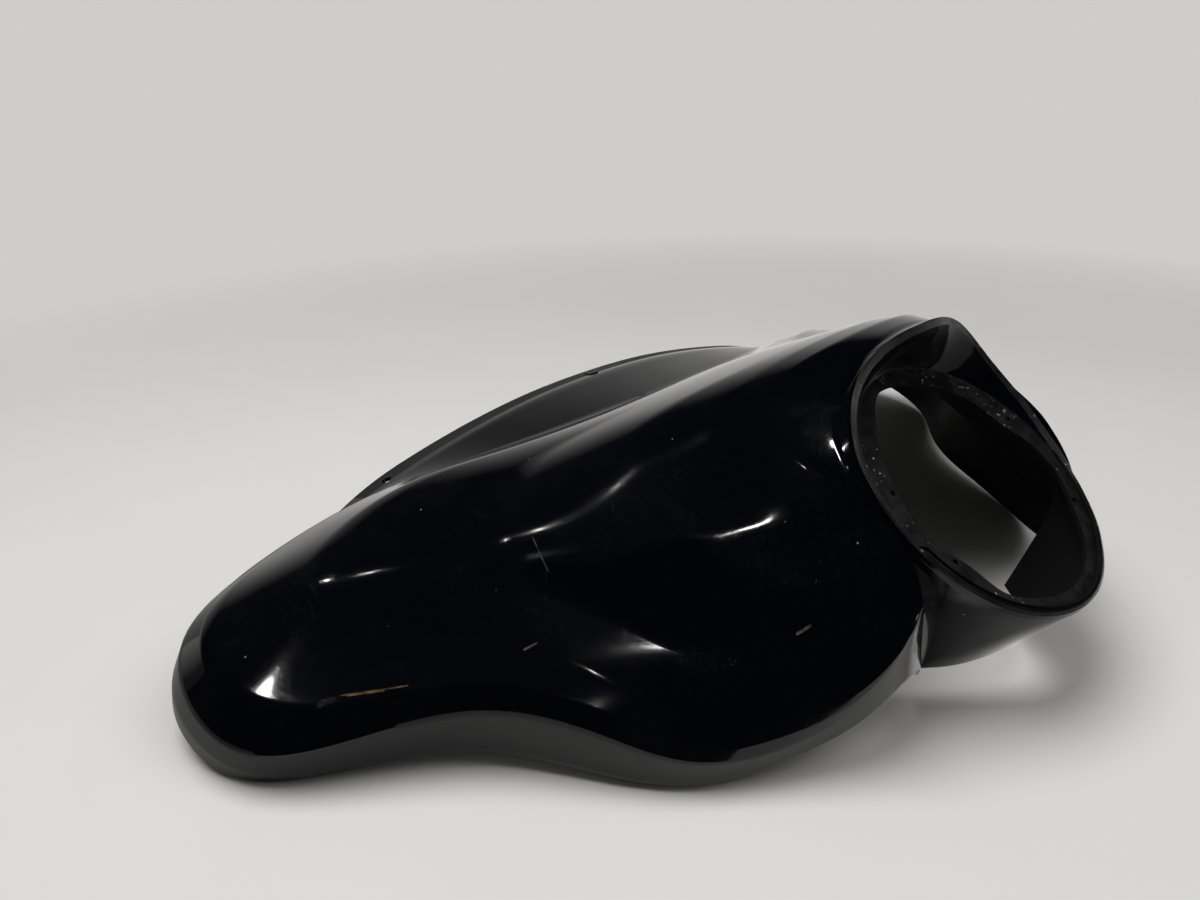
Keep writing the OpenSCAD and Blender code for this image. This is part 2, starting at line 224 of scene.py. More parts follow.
# Tints that the finishes mix in
HAIRLINE = (0.011, 0.011, 0.013)
DUST = (0.22, 0.21, 0.19)
SATIN_CLOUD = (0.007, 0.0066, 0.0062)
FLANGE_RUB = (0.015, 0.015, 0.0145)
RIM_BLACK = (0.005, 0.005, 0.006)
RIM_RUB = (0.013, 0.0125, 0.012)
RIM_CHIP = (0.34, 0.33, 0.31)
NUT_DUST = (0.075, 0.066, 0.055)

# The stage: its colours, and where boards and camera stand, in metres from the
# ground under the seat
PLAIN = (0.62, 0.61, 0.59)
ROOM = (0.55, 0.55, 0.55)
ROOM_STRENGTH = 0.3
BOARD_DARK = (0.0014, 0.0015, 0.0019)
BOARD_PALE = (1.0, 0.985, 0.96)
LAMP_WHITE = (1.0, 0.98, 0.94)
FLOOR_RADIUS = 3.0
SIDE_SHARE = 0.35
UP = Vector((0.0, 0.0, 1.0))
WALL_FOOT = Vector((-0.782, -0.144, 0.0)) + HOME
WALL_ALONG = Vector((0.609, 0.793, 0.0))
WALL_OUT = Vector((0.793, -0.609, 0.0))
BOARD_LOW, BOARD_HIGH = -0.02, 1.6
BOARD_SIDE, BOARD_DEPTH = 3.0, 3.4
LOW_BOARD_AHEAD, LOW_BOARD_HEIGHT = 0.2, 0.0006
CAMERA_PLACE = (0.2294, -0.5878, 0.4345)
CAMERA_RIGHT = Vector((0.696, 0.717, -0.026))
CAMERA_AHEAD = Vector((-0.662, 0.629, -0.408))
FOOT_AHEAD = Vector((-0.725, 0.689, 0.0))
FOOT_ASIDE = Vector((0.689, 0.725, 0.0))

# Small bright discs that only show as highlights: place, radius, brightness
GLINTS = (
    (-0.380, -1.020, 1.085, 0.026, 130.0),
    (-0.840, -0.614, 1.138, 0.020, 100.0),
    (-0.730, -0.509, 1.176, 0.010, 100.0),
    (0.218, -0.762, 1.155, 0.016, 130.0),
    (0.440, -0.250, 1.279, 0.030, 150.0),
)
GLINT_AIM = Vector((-0.1, -0.1, 0.1))
GLINT_SIDES = 16


def length_of(name, description, default, least, most):
    return FloatProperty(name=name, description=description, default=default,
                         min=least, max=most, unit="LENGTH")


def colour_of(name, description, default):
    return FloatVectorProperty(name=name, description=description, default=default,
                               subtype="COLOR", size=3, min=0, max=1)


class FairingSizes(bpy.types.PropertyGroup):
    """Sizes of the fairing's pieces"""
    wall: length_of("Wall", "Thickness of the moulding", 0.0035, 0.003, 0.0045)
    smoothness: IntProperty(
        name="Smoothness", description="Subdivision steps of the shell", default=3, min=1, max=4)
    lamp_screw_d: length_of(
        "Lamp Screw Hole", "Diameter of the headlight's screw holes", 0.004, 0.003, 0.005)
    shield_screw_d: length_of(
        "Windshield Screw Hole", "Diameter of the windshield's screw holes", 0.009, 0.006, 0.010)


class FairingColours(bpy.types.PropertyGroup):
    """Colours of the fairing's finishes"""
    gloss: colour_of("Gloss Face", "Polished outside of the shell", (0.0010, 0.0012, 0.0022))
    satin: colour_of("Satin Back", "Bare plastic of the inside", (0.004, 0.004, 0.0045))
    flange: colour_of("Flange", "Dull strip under the windshield", (0.010, 0.010, 0.011))
    rubber: colour_of("Rubber", "Well nut", (0.030, 0.026, 0.022))
    floor: colour_of("Floor", "Pale table top", PLAIN)


class StageSettings(bpy.types.PropertyGroup):
    """Camera and light of the stage"""
    lens: FloatProperty(
        name="Lens", description="Focal length of the camera in millimetres",
        default=27.07, min=10, max=100)
    key_power: FloatProperty(
        name="Key Light", description="Power of the large soft light in watts",
        default=47.0, min=0, max=500)


# ---- shared modelling steps ----

def around(angle, radius, ahead):
    """A point given around the headlight's axis, in metres in the shared frame"""
    turn = math.radians(angle)
    side = Vector((0.0, radius * math.sin(turn), 0.0))
    seat = Vector((0.0, 0.0, SEAT_HEIGHT))
    return (seat + AXIS * ahead + BROW * (radius * math.cos(turn)) + side) * MM + HOME


def on_wing(point, side):
    """A guide point of the left wing, or with side -1 of the right one"""
    return Vector((point[0], point[1] * side, point[2])) * MM + HOME


def whole_row(half):
    """A row from the left wing's end over the top to the right wing's end"""
    left = [on_wing(p, 1) for p in reversed(half)]
    return left + [on_wing(p, -1) for p in half[1:]]


def whole_ring(half, out=0.0, forward=0.0):
    """A ring round the nacelle: the wings' range first, then its underside"""
    left = [around(a, r + out, h + forward) for a, r, h in reversed(half[:STATIONS])]
    right = [around(-a, r + out, h + forward) for a, r, h in half[1:]]
    under = [around(a, r + out, h + forward) for a, r, h in half[-2:STATIONS - 1:-1]]
    return left + right + under


def opening_ring():
    """The uneven edge of the opening, in the order of whole_ring"""
    last = len(LIP) - 1
    left = [around(LIP[i][0], OPENING_LEFT[i], 0) for i in range(STATIONS - 1, -1, -1)]
    right = [around(-LIP[i][0], OPENING_RIGHT[i], 0) for i in range(1, last + 1)]
    under = [around(LIP[i][0], OPENING_LEFT[i], 0) for i in range(last - 1, STATIONS - 1, -1)]
    return left + right + under


def extrude_row(bm, edges, verts, places):
    """Extrudes a row of edges and sets its new points; gives the new edges and points"""
    made = bmesh.ops.extrude_edge_only(bm, edges=edges)["geom"]
    fresh = {v for v in made if isinstance(v, bmesh.types.BMVert)}
    out = []
    for vert, place in zip(verts, places):
        new = next(e.other_vert(vert) for e in vert.link_edges if e.other_vert(vert) in fresh)
        new.co = place
        out.append(new)
    new_edges = [e for e in made if isinstance(e, bmesh.types.BMEdge) and set(e.verts) <= fresh]
    return new_edges, out


def beside(edges):
    return {f for e in edges for f in e.link_faces}


def put_in_slot(faces, slot):
    for face in faces:
        face.material_index = slot


def add_object(name, bm):
    mesh = bpy.data.meshes.new(name)
    bm.to_mesh(mesh)
    bm.free()
    obj = bpy.data.objects.new(name, mesh)
    bpy.context.scene.collection.objects.link(obj)
    return obj


def finished_copy(obj):
    """The object's mesh with its modifiers carried out"""
    deps = bpy.context.evaluated_depsgraph_get()
    return bpy.data.meshes.new_from_object(
        obj.evaluated_get(deps), preserve_all_data_layers=True, depsgraph=deps)


def drill(bm, place, turn, diameter, length, segments):
    """Adds a drill's body to a bmesh"""
    bmesh.ops.create_cone(
        bm, cap_ends=True, segments=segments, radius1=diameter / 2, radius2=diameter / 2,
        depth=length, matrix=Matrix.Translation(place) @ turn)


# ---- the shell's steps ----

def model_nacelle(bm):
    """The ring of the gutter, then inwards over the lip and the seat to the opening"""
    crease = bm.edges.layers.float.new("crease_edge")
    ring = [bm.verts.new(p) for p in whole_ring(GUTTER)]
    count = len(ring)
    ring_edges = [bm.edges.new((ring[i], ring[(i + 1) % count])) for i in range(count)]
    for edge in ring_edges:
        edge[crease] = GUTTER_CREASE
    edges, verts = ring_edges, ring
    for step, (out, forward) in enumerate(LIP_ROLL):
        edges, verts = extrude_row(bm, edges, verts, whole_ring(LIP, out, forward))
        if step in RUBBED_STEPS:
            put_in_slot(beside(edges), LIP_SLOT)
    seat = tuple((angle, SEAT_RADIUS, 0) for angle, _, _ in LIP)
    edges, verts = extrude_row(bm, edges, verts, whole_ring(seat))
    put_in_slot(beside(edges), GLOSS_SLOT)
    for edge in edges:
        edge[crease] = SEAT_CREASE
    edges, verts = extrude_row(bm, edges, verts, opening_ring())
    put_in_slot(beside(edges), RING_SLOT)
    return ring_edges, ring


def model_wings(bm, ring_edges, ring):
    """Outwards from the gutter over both wings to the edge of skirt and flange"""
    edges, verts = ring_edges[:2 * STATIONS - 2], ring[:2 * STATIONS - 1]
    for row in WING_ROWS:
        edges, verts = extrude_row(bm, edges, verts, whole_row(row))
    for face in beside(edges):
        middle = face.calc_center_median()
        if abs(middle.y) < FLANGE_HALF_WIDTH and middle.x < FLANGE_FRONT:
            face.material_index = FLANGE_SLOT


def turn_faces_out(bm):
    """Points the faces outwards, judged by the one at the top of the nacelle"""
    bmesh.ops.recalc_face_normals(bm, faces=bm.faces)

    def height(face):
        middle = face.calc_center_median()
        return middle.z - abs(middle.y)

    if max(bm.faces, key=height).normal.z < 0:
        bmesh.ops.reverse_faces(bm, faces=bm.faces)


def screw_drills(sizes):
    """The drills of all screw holes, as one object"""
    tools = bmesh.new()
    turn = Matrix.Rotation(math.pi / 2 - SEAT_TILT, 4, "Y")
    for angle in LAMP_SCREWS:
        place = around(angle, LAMP_SCREW_RADIUS, 0)
        drill(tools, place, turn, sizes.lamp_screw_d, LAMP_DRILL_LENGTH, 24)
    for x, y, z, side in SHIELD_SCREWS:
        turn = Matrix.Rotation(-FLANGE_LEAN, 4, "Y") @ Matrix.Rotation(-side * FLANGE_FALL, 4, "X")
        place = on_wing((x, y, z), 1)
        drill(tools, place, turn, sizes.shield_screw_d, SHIELD_DRILL_LENGTH, 40)
    return add_object("screw_drills", tools)


def carry_out(shell, sizes, cutter):
    """Smooths the shell, gives it its wall and its screw holes, and keeps the result"""
    smooth = shell.modifiers.new("Smooth", "SUBSURF")
    smooth.levels = smooth.render_levels = sizes.smoothness
    smooth.boundary_smooth = "PRESERVE_CORNERS"
    wall = shell.modifiers.new("Wall", "SOLIDIFY")
    wall.thickness = sizes.wall
    wall.offset = -1.0
    wall.use_even_offset = False
    wall.use_quality_normals = True
    wall.material_offset = wall.material_offset_rim = 1
    holes = shell.modifiers.new("Screw holes", "BOOLEAN")
    holes.operation = "DIFFERENCE"
    holes.solver = "EXACT"
    holes.object = cutter
    guide, mesh = shell.data, finished_copy(shell)
    shell.modifiers.clear()
    shell.data = mesh
    bpy.data.meshes.remove(guide)
    bpy.data.objects.remove(cutter, do_unlink=True)
    return mesh


# ---- finishes ----

class Nodes:
    """Short way to write the nodes of a material or a world"""

    def __init__(self, owner, output="ShaderNodeOutputMaterial"):
        owner.use_nodes = True
        self.owner = owner
        self.tree = owner.node_tree
        self.tree.nodes.clear()
        self.out = self.add(output)

    def add(self, kind, inputs=None, **settings):
        """Adds a node; an input is linked where its value is a socket, and else set"""
        node = self.tree.nodes.new(kind)
        for key, value in settings.items():
            setattr(node, key, value)
        for key, value in (inputs or {}).items():
            if isinstance(value, bpy.types.NodeSocket):
                self.tree.links.new(value, node.inputs[key])
            else:
                node.inputs[key].default_value = value
        return node

    def place(self):
        """Where the surface is, in the shared frame"""
        return self.add("ShaderNodeTexCoord").outputs["Object"]

    def mapped(self, where, turn, scale):
        inputs = {"Vector": where, "Rotation": turn, "Scale": scale}
        return self.add("ShaderNodeMapping", inputs).outputs[0]

    def noise(self, where, scale, detail=3.0, rough=0.5):
        inputs = {"Vector": where, "Scale": scale, "Detail": detail, "Roughness": rough}
        return self.add("ShaderNodeTexNoise", inputs).outputs["Fac"]

    def ramp(self, value, low, high, to_low=0.0, to_high=1.0):
        inputs = {"Value": value, "From Min": low, "From Max": high,
                  "To Min": to_low, "To Max": to_high}
        return self.add("ShaderNodeMapRange", inputs).outputs[0]

    def math(self, kind, a, b=0.0):
        return self.add("ShaderNodeMath", {0: a, 1: b}, operation=kind).outputs[0]

    def times(self, a, b):
        return self.math("MULTIPLY", a, b)

    def plus(self, a, b):
        return self.math("ADD", a, b)

    def minus(self, a, b):
        return self.math("SUBTRACT", a, b)

    def either(self, a, b):
        return self.math("MAXIMUM", a, b)

    def vector(self, kind, a, b=None):
        """A step on one or two vectors; gives a number where the step does"""
        inputs = {0: a} if b is None else {0: a, 1: b}
        node = self.add("ShaderNodeVectorMath", inputs, operation=kind)
        number = kind in ("LENGTH", "DISTANCE", "DOT_PRODUCT")
        return node.outputs["Value" if number else "Vector"]

    def scaled(self, vector, factor):
        inputs = {0: vector, "Scale": factor}
        return self.add("ShaderNodeVectorMath", inputs, operation="SCALE").outputs[0]

    def colour(self, factor, a, b):
        """Mixes two colours, each a socket or three numbers"""
        ends = {6: a, 7: b}
        inputs = {0: factor}
        for slot, value in ends.items():
            socket = isinstance(value, bpy.types.NodeSocket)
            inputs[slot] = value if socket else (*value, 1.0)
        return self.add("ShaderNodeMix", inputs, data_type="RGBA").outputs[2]

    def bump(self, height, strength, distance, normal=None):
        inputs = {"Height": height, "Strength": strength, "Distance": distance}
        if normal is not None:
            inputs["Normal"] = normal
        return self.add("ShaderNodeBump", inputs).outputs[0]

    def ray(self, kind):
        """1 where a ray of this kind meets the surface"""
        return self.add("ShaderNodeLightPath").outputs["Is %s Ray" % kind]

    def emission(self, colour, strength):
        inputs = {"Color": (*colour, 1.0), "Strength": strength}
        return self.add("ShaderNodeEmission", inputs).outputs[0]

    def mix(self, factor, a, b):
        return self.add("ShaderNodeMixShader", {0: factor, 1: a, 2: b}).outputs[0]

    def principled(self, inputs):
        return self.add("ShaderNodeBsdfPrincipled", inputs).outputs[0]

    def show(self, shader):
        self.tree.links.new(shader, self.out.inputs[0])
        return self.owner


def new_material(name):
    return Nodes(bpy.data.materials.new(name))


def stroke(n, obj, start, end, width):
    """1 along a thin line between two places on the near wing, 0 away from it"""
    a, b = on_wing(start, 1), on_wing(end, 1)
    b -= FACE * (b - a).dot(FACE)
    run = (b - a).normalized()
    gap = n.vector("SUBTRACT", obj, a)
    gap = n.vector("SUBTRACT", gap, n.scaled(FACE, n.vector("DOT_PRODUCT", gap, FACE)))
    along = n.either(n.vector("DOT_PRODUCT", gap, run), 0.0)
    along = n.math("MINIMUM", along, (b - a).length)
    away = n.vector("DISTANCE", gap, n.scaled(run, along))
    return n.ramp(away, width, width * 0.4)


def hairlines(n, obj):
    """Two patchy sets of hair-fine scratches, 0 to 1"""
    sets = []
    for turn, scale, patch_scale, patch_low in (
            ((0.4, 0.2, 0.9), (900.0, 14.0, 300.0), 23.0, 0.45),
            ((0.1, 0.7, -0.6), (20.0, 800.0, 260.0), 17.0, 0.48)):
        hair = n.ramp(n.noise(n.mapped(obj, turn, scale), 1.0, 2.0, 0.6), 0.60, 0.72)
        patch = n.ramp(n.noise(obj, patch_scale, 2.0), patch_low, 0.62)
        sets.append(n.times(hair, patch))
    return n.either(*sets)


def dust_specks(n, obj):
    """Rare specks of dust, 0 to 1"""
    inputs = {"Vector": obj, "Scale": 75.0, "Randomness": 1.0}
    cells = n.add("ShaderNodeTexVoronoi", inputs).outputs
    chance = n.add("ShaderNodeSeparateColor", {0: cells["Color"]}).outputs[0]
    return n.times(n.ramp(cells["Distance"], 0.06, 0.03), n.ramp(chance, 0.90, 0.93))


def painted_shade_places(n, obj):
    """1 in the band under the nacelle's rim and in the hood's recess, where the face's reflection
    is turned down as painted shade, 0 elsewhere
    """
    spot = n.add("ShaderNodeSeparateXYZ", {0: obj}).outputs
    across = n.math("ABSOLUTE", spot[1])
    ahead = n.ramp(spot[0], *(HOME.x + limit for limit in BAND_AHEAD))
    above = n.ramp(n.minus(spot[2], across), *(HOME.z + limit for limit in BAND_BOTTOM))
    below = n.ramp(spot[2], *(HOME.z + limit for limit in BAND_TOP))
    inner = n.times(n.ramp(across, *BAND_ACROSS), ahead)
    band = n.times(n.times(inner, above), below)

    from_seat = n.vector("SUBTRACT", obj, around(0.0, 0.0, 0.0))
    forward = n.vector("DOT_PRODUCT", from_seat, AXIS)
    upward = n.vector("DOT_PRODUCT", from_seat, BROW)
    reach = n.vector("LENGTH", from_seat)
    off_axis = n.either(n.minus(n.times(reach, reach), n.times(forward, forward)), 0.0)
    radius = n.math("SQRT", off_axis)
    recess = n.times(n.ramp(radius, *RECESS_RADIUS), n.ramp(upward, *RECESS_BOTTOM))
    return n.either(band, recess)


def swirl_marks(n, obj):
    """Bent hair lines of a polishing cloth in three directions, 0 to 1"""
    inputs = {"Vector": obj, "Scale": 9.0, "Detail": 1.0}
    drift = n.scaled(n.add("ShaderNodeTexNoise", inputs).outputs["Color"], 0.07)
    bent = n.vector("ADD", obj, drift)
    swirl = None
    for turn in ((0.5, 0.3, 0.8), (0.9, -0.6, 0.2), (-0.4, 0.8, -0.9)):
        lines = n.mapped(bent, turn, (1500.0, 45.0, 45.0))
        hairs = n.ramp(n.noise(lines, 1.0, 2.0, 0.6), 0.5, 0.68)
        swirl = hairs if swirl is None else n.either(swirl, hairs)
    return swirl


def gloss_finish(colour):
    """Polished black face with swirl marks, dust and a few dull scuffs"""
    n = new_material("gloss_black_moulding")
    obj = n.place()
    marks = hairlines(n, obj)
    dust = dust_specks(n, obj)
    base = n.colour(n.times(marks, 0.3), colour, HAIRLINE)
    base = n.colour(n.times(dust, 0.8), base, DUST)
    patchy = n.ramp(n.noise(obj, 150.0, 3.0, 0.6), 0.35, 0.6, 0.2, 1.0)
    for start, end, width, tint, strength in WEAR:
        line = n.times(n.times(stroke(n, obj, start, end, width), patchy), strength)
        base = n.colour(line, base, tint)
        marks = n.either(marks, line)

    haze = n.ramp(n.noise(obj, 9.0, 4.0, 0.55), 0.42, 0.72)
    rough = n.plus(n.ramp(haze, 0.0, 1.0, 0.055, 0.12), n.times(marks, 0.10))
    rough = n.plus(rough, n.times(dust, 0.5))
    ripple = n.bump(n.noise(obj, 34.0, 2.0, 0.5), 0.05, 0.0012)
    normal = n.bump(marks, 0.06, 0.0001, ripple)
    return n.show(n.principled({
        "Base Color": base, "Roughness": rough, "IOR": 1.4, "Normal": normal,
        "Coat Weight": n.ramp(n.noise(obj, 21.0, 4.0, 0.6), 0.35, 0.7, 0.02, 0.10),
        "Coat Roughness": 0.14,
        "Coat Normal": n.bump(swirl_marks(n, obj), 0.5, 0.0003, normal),
        # Painted shade: the face reflects less in the band under the nacelle's rim and in the
        # hood's recess
        "Specular IOR Level": n.ramp(painted_shade_places(n, obj), 0.0, 1.0, GLOSS_SHINE, PAINTED_SHADE_SHINE),
    }))


def satin_finish(colour):
    """Bare moulded plastic of the inside, with a fine grain"""
    n = new_material("satin_black_inside")
    obj = n.place()
    cloud = n.ramp(n.noise(obj, 14.0, 4.0, 0.55), 0.35, 0.7)
    return n.show(n.principled({
        "Base Color": n.colour(cloud, colour, SATIN_CLOUD),
        "Roughness": n.ramp(cloud, 0.0, 1.0, 0.6, 0.75),
        "IOR": 1.3, "Specular IOR Level": 0.12,
        "Normal": n.bump(n.noise(obj, 900.0, 2.0, 0.5), 0.12, 0.0002),
    }))


def flange_finish(colour):
    """Dull strip that the windshield lies on, with rubbed patches"""
    n = new_material("dull_windshield_flange")
    obj = n.place()
    streaks = n.mapped(obj, (0, 0, 0), (40.0, 6.0, 20.0))
    rub = n.ramp(n.noise(streaks, 1.0, 4.0, 0.6), 0.4, 0.68)
    return n.show(n.principled({
        "Base Color": n.colour(rub, colour, FLANGE_RUB),
        "Roughness": n.ramp(rub, 0.0, 1.0, 0.55, 0.72),
        "IOR": 1.25,
        "Normal": n.bump(n.noise(obj, 700.0, 2.0, 0.5), 0.2, 0.0002),
    }))


def rim_finish():
    """Rubbed rim of the nacelle and its seat, dull black with pale chips"""
    n = new_material("rubbed_nacelle_rim")
    obj = n.place()
    rub = n.ramp(n.noise(obj, 60.0, 5.0, 0.6), 0.40, 0.66)
    chip = n.ramp(n.noise(obj, 260.0, 3.0, 0.6), 0.64, 0.68)
    chip = n.times(chip, n.ramp(n.noise(obj, 31.0, 2.0), 0.5, 0.62))
    base = n.colour(rub, RIM_BLACK, RIM_RUB)
    return n.show(n.principled({
        "Base Color": n.colour(n.times(chip, 0.8), base, RIM_CHIP),
        "Roughness": n.ramp(rub, 0.0, 1.0, 0.32, 0.55),
        "IOR": 1.4,
        "Normal": n.bump(rub, 0.1, 0.0004),
    }))


def rubber_finish(colour):
    """Dusty black rubber"""
    n = new_material("well_nut_rubber")
    obj = n.place()
    dust = n.ramp(n.noise(obj, 260.0, 4.0, 0.6), 0.4, 0.7)
    return n.show(n.principled({
        "Base Color": n.colour(dust, colour, NUT_DUST),
        "Roughness": n.ramp(dust, 0.0, 1.0, 0.6, 0.85),
        "Normal": n.bump(n.noise(obj, 1500.0, 2.0), 0.15, 0.0001),
    }))


def floor_finish(colour):
    """Pale table top that fades into the plain background. Its reflection in the shell
    carries painted shade towards the left end of the wall and painted light towards the right."""
    n = new_material("pale_table")
    obj = n.place()
    fade = n.ramp(n.vector("LENGTH", obj), 0.75, 1.6)
    cloud = n.ramp(n.noise(obj, 3.0, 4.0, 0.5), 0.3, 0.7)
    base = n.colour(cloud, colour, [c * 0.97 for c in colour])
    # Painted shade and light, seen only in reflections: the table is darker to the left and
    # brighter to the right
    level = n.ramp(n.vector("DOT_PRODUCT", obj, WALL_ALONG), -0.55, 0.15, 0.3, 1.5)
    level = n.plus(n.times(n.minus(level, 1.0), n.ray("Glossy")), 1.0)
    table = n.principled({
        "Base Color": n.scaled(base, level), "Roughness": 0.9, "Specular IOR Level": 0.1})
    return n.show(n.mix(n.times(fade, n.ray("Camera")), table, n.emission(PLAIN, 1.0)))


def board_finish(name, colour, strength, fade=None):
    """Glow of a board. With a fade it goes out between two heights and to the left."""
    n = new_material(name)
    if fade is not None:
        obj = n.place()
        height = n.add("ShaderNodeSeparateXYZ", {0: obj}).outputs["Z"]
        aside = n.ramp(n.vector("DOT_PRODUCT", obj, WALL_ALONG), -2.2, -0.4, 0.1, 1.0)
        strength = n.times(n.ramp(height, *fade, strength, 0.0), aside)
    return n.show(n.emission(colour, strength))


def room_finish():
    """Plain pale background, which lights the object dimly"""
    n = Nodes(bpy.data.worlds.new("plain_room"), "ShaderNodeOutputWorld")
    back = n.add("ShaderNodeBackground", {"Color": (*PLAIN, 1.0)}).outputs[0]
    room = n.add("ShaderNodeBackground", {"Color": (*ROOM, 1.0), "Strength": ROOM_STRENGTH})
    seen = n.either(n.either(n.ray("Camera"), n.ray("Glossy")), n.ray("Transmission"))
    return n.show(n.mix(seen, room.outputs[0], back))


# ---- pieces ----

class FAIRING_OT_shell(bpy.types.Operator):
    """Models the moulded shell from its rows of guide points"""
    bl_idname = "fairing.shell"
    bl_label = "Fairing Shell"

    def execute(self, context):
        sizes = context.scene.fairing_sizes
        colours = context.scene.fairing_colours
        bm = bmesh.new()
        ring_edges, ring = model_nacelle(bm)
        model_wings(bm, ring_edges, ring)
        turn_faces_out(bm)
        for face in bm.faces:
            face.smooth = True
        shell = add_object("shell", bm)

        # The wall puts its inner side in the next slot, so the slots are filled first
        gloss, satin = gloss_finish(colours.gloss), satin_finish(colours.satin)
        flange, rim = flange_finish(colours.flange), rim_finish()
        for finish in (gloss, flange, rim, rim):
            shell.data.materials.append(finish)
            shell.data.materials.append(satin)
        mesh = carry_out(shell, sizes, screw_drills(sizes))

        # The subdivided surface may round out a third of a millimetre past the part's box
        for vert in mesh.vertices:
            vert.co.x = min(vert.co.x, BOX_FRONT)
            vert.co.z = min(vert.co.z, BOX_TOP)
        mesh.set_sharp_from_angle(angle=SHELL_SHARP)
        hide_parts("fairing_shell")
        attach(shell, "root")
        return {"FINISHED"}


class FAIRING_OT_well_nut(bpy.types.Operator):
    """Turns the rubber well nut and seats it in the middle screw hole"""
    bl_idname = "fairing.well_nut"
    bl_label = "Well Nut"

    def execute(self, context):
        bm = bmesh.new()
        points = [bm.verts.new((r * MM, 0.0, z * MM)) for r, z in NUT_PROFILE]
        count = len(points)
        edges = [bm.edges.new((points[i], points[(i + 1) % count])) for i in range(count)]
        bmesh.ops.spin(bm, geom=points + edges, cent=(0, 0, 0), axis=(0, 0, 1),
                       angle=math.tau, steps=NUT_STEPS, use_merge=True)
        bmesh.ops.remove_doubles(bm, verts=bm.verts, dist=1e-6)
        bmesh.ops.recalc_face_normals(bm, faces=bm.faces)
        seat = Matrix.Translation(on_wing(SHIELD_SCREWS[0][:3], 1))
        lean = Matrix.Rotation(-FLANGE_LEAN, 4, "Y")
        bmesh.ops.transform(bm, matrix=seat @ lean, verts=bm.verts)
        for face in bm.faces:
            face.smooth = True
        nut = add_object("well_nut", bm)
        nut.data.set_sharp_from_angle(angle=NUT_SHARP)
        nut.data.materials.append(rubber_finish(context.scene.fairing_colours.rubber))
        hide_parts("shield_well_nut")
        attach(nut, "root")
        return {"FINISHED"}


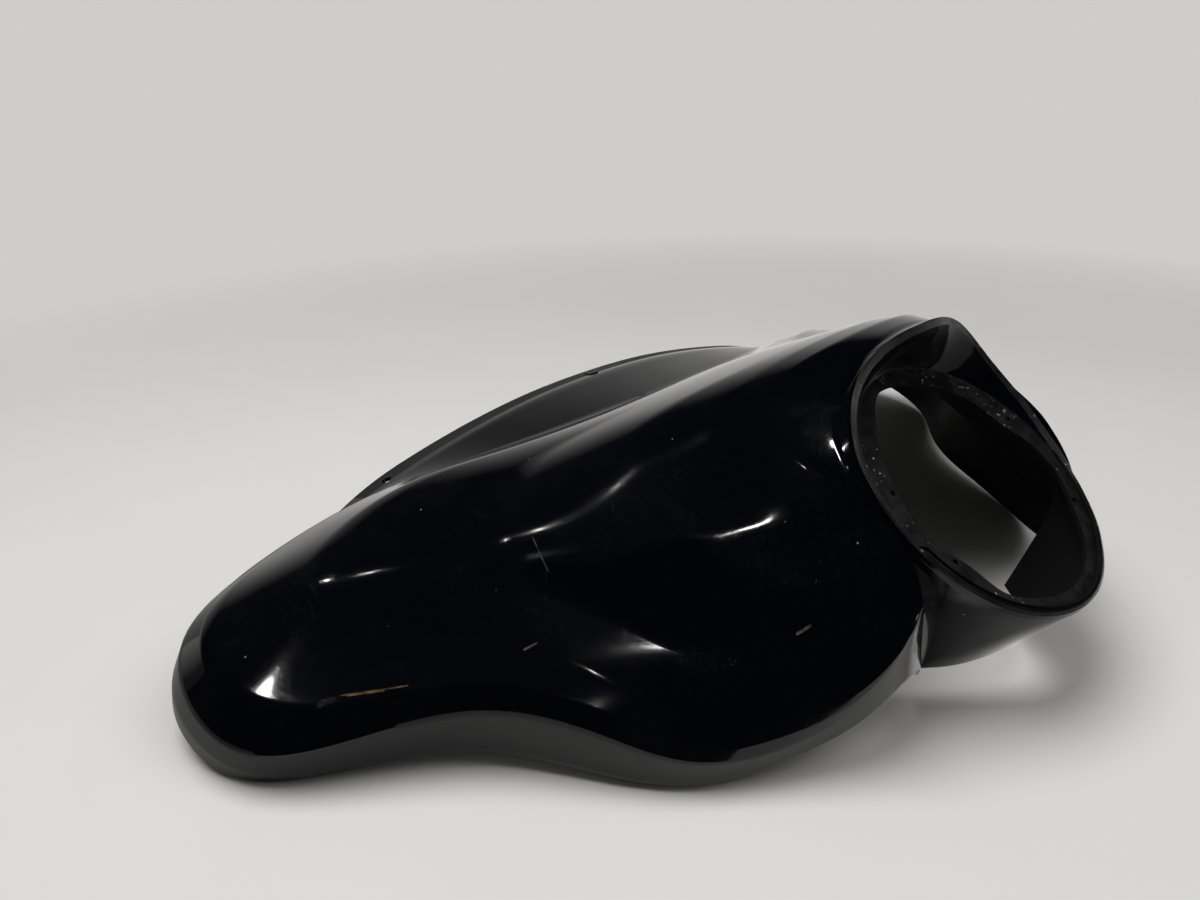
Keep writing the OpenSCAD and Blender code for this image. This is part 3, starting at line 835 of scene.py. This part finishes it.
class FAIRING_OT_stage(bpy.types.Operator):
    """Sets the floor, the soft lights, the background and the camera"""
    bl_idname = "fairing.stage"
    bl_label = "Stage"

    def add_floor(self, colour):
        bm = bmesh.new()
        bmesh.ops.create_circle(bm, cap_ends=True, segments=96, radius=FLOOR_RADIUS)
        floor = add_object("table_top", bm)
        floor.data.materials.append(floor_finish(colour))

    def add_lamp(self, name, place, aim, size, power):
        """A round soft lamp that doesn't show in reflections"""
        light = bpy.data.lights.new(name, "AREA")
        light.shape = "DISK"
        light.size = size
        light.energy = power
        obj = bpy.data.objects.new(name, light)
        obj.location = place
        obj.rotation_euler = (Vector(aim) - Vector(place)).to_track_quat("-Z", "Y").to_euler()
        obj.visible_glossy = False
        bpy.context.scene.collection.objects.link(obj)

    def add_board(self, name, corners, colour, strength, fade=None):
        """A flat board that only shows in reflections"""
        bm = bmesh.new()
        bm.faces.new([bm.verts.new(c) for c in corners])
        obj = add_object(name, bm)
        obj.data.materials.append(board_finish(name + "_paint", colour, strength, fade))
        obj.visible_camera = False
        obj.visible_diffuse = False
        obj.visible_shadow = False
        obj.visible_transmission = False

    def add_boards(self):
        """Dark boards to the front, the sides and above, and a pale one at the wall"""
        ends = ((-BOARD_SIDE, 0.0), (-BOARD_SIDE, BOARD_DEPTH),
                (BOARD_SIDE, BOARD_DEPTH), (BOARD_SIDE, 0.0))
        corners = [WALL_FOOT + WALL_ALONG * along + WALL_OUT * out for along, out in ends]
        low, high = UP * BOARD_LOW, UP * BOARD_HIGH

        def upright(first, second):
            a, b = corners[first], corners[second]
            return a + low, b + low, b + high, a + high

        for name, first, second in (
                ("board_front", 1, 2), ("board_left", 0, 1), ("board_right", 2, 3)):
            self.add_board(name, upright(first, second), BOARD_DARK, 1.0)
        self.add_board("board_top", [c + high for c in corners], BOARD_DARK, 1.0)
        self.add_board("board_back", upright(3, 0), BOARD_PALE, 0.8, (0.08, 0.5))

        # A dark board just over the floor, from ahead of the camera to behind it
        edge = Vector((*CAMERA_PLACE[:2], 0.0)) + HOME + FOOT_AHEAD * LOW_BOARD_AHEAD
        edge.z = LOW_BOARD_HEIGHT
        left, right = edge - FOOT_ASIDE * 4, edge + FOOT_ASIDE * 4
        behind = FOOT_AHEAD * 3
        self.add_board("board_low", (left, right, right - behind, left - behind), BOARD_DARK, 1.0)

    def add_glints(self):
        for index, (x, y, z, size, strength) in enumerate(GLINTS):
            place = Vector((x, y, z)) + HOME
            aim = (GLINT_AIM - place).normalized()
            side = aim.cross(UP).normalized() * size
            top = side.cross(aim).normalized() * size
            turns = [math.tau * k / GLINT_SIDES for k in range(GLINT_SIDES)]
            disc = [place + side * math.cos(t) + top * math.sin(t) for t in turns]
            self.add_board("glint_%d" % index, disc, LAMP_WHITE, strength)

    def add_camera(self, lens):
        camera = bpy.data.cameras.new("photo_view")
        camera.sensor_width = 36.0
        camera.sensor_fit = "HORIZONTAL"
        camera.lens = lens
        camera.clip_start = 0.01
        camera.clip_end = 50.0
        eye = bpy.data.objects.new("photo_view", camera)
        right = CAMERA_RIGHT.normalized()
        ahead = CAMERA_AHEAD.normalized()
        upward = right.cross(ahead).normalized()
        right = ahead.cross(upward).normalized()
        rows = [(right[i], upward[i], -ahead[i], CAMERA_PLACE[i] + HOME[i]) for i in range(3)]
        eye.matrix_world = Matrix((*rows, (0, 0, 0, 1)))
        bpy.context.scene.collection.objects.link(eye)
        bpy.context.scene.camera = eye

    def execute(self, context):
        scene = context.scene
        settings = scene.fairing_stage
        self.add_floor(scene.fairing_colours.floor)
        self.add_boards()
        self.add_glints()
        scene.world = room_finish()
        key = settings.key_power
        self.add_lamp("soft_key", (-0.4, -0.6, 2.2), (0.0, 0.0, 0.1), 1.6, key)
        self.add_lamp("soft_side", (1.3, 0.3, 1.9), (0.0, 0.0, 0.0), 1.4, key * SIDE_SHARE)
        self.add_camera(settings.lens)
        scene.view_settings.view_transform = "Standard"
        return {"FINISHED"}


class FAIRING_PT_panel(bpy.types.Panel):
    """Lists the fairing's sizes, colours and pieces"""
    bl_idname = "FAIRING_PT_panel"
    bl_label = "Fairing"
    bl_space_type = "VIEW_3D"
    bl_region_type = "UI"
    bl_category = "Fairing"

    def draw(self, context):
        layout = self.layout
        scene = context.scene
        for group in (scene.fairing_sizes, scene.fairing_colours, scene.fairing_stage):
            column = layout.column()
            for name in group.bl_rna.properties.keys():
                if name not in ("rna_type", "name"):
                    column.prop(group, name)
        for operator in OPERATORS:
            layout.operator(operator.bl_idname)


OPERATORS = (FAIRING_OT_shell, FAIRING_OT_well_nut, FAIRING_OT_stage)
CLASSES = (FairingSizes, FairingColours, StageSettings, *OPERATORS, FAIRING_PT_panel)


def register():
    for item in CLASSES:
        bpy.utils.register_class(item)
    bpy.types.Scene.fairing_sizes = PointerProperty(type=FairingSizes)
    bpy.types.Scene.fairing_colours = PointerProperty(type=FairingColours)
    bpy.types.Scene.fairing_stage = PointerProperty(type=StageSettings)


def unregister():
    del bpy.types.Scene.fairing_stage
    del bpy.types.Scene.fairing_colours
    del bpy.types.Scene.fairing_sizes
    for item in reversed(CLASSES):
        bpy.utils.unregister_class(item)


def main():
    register()
    bpy.ops.fairing.shell()
    bpy.ops.fairing.well_nut()
    bpy.ops.fairing.stage()


if __name__ == "__main__":
    main()
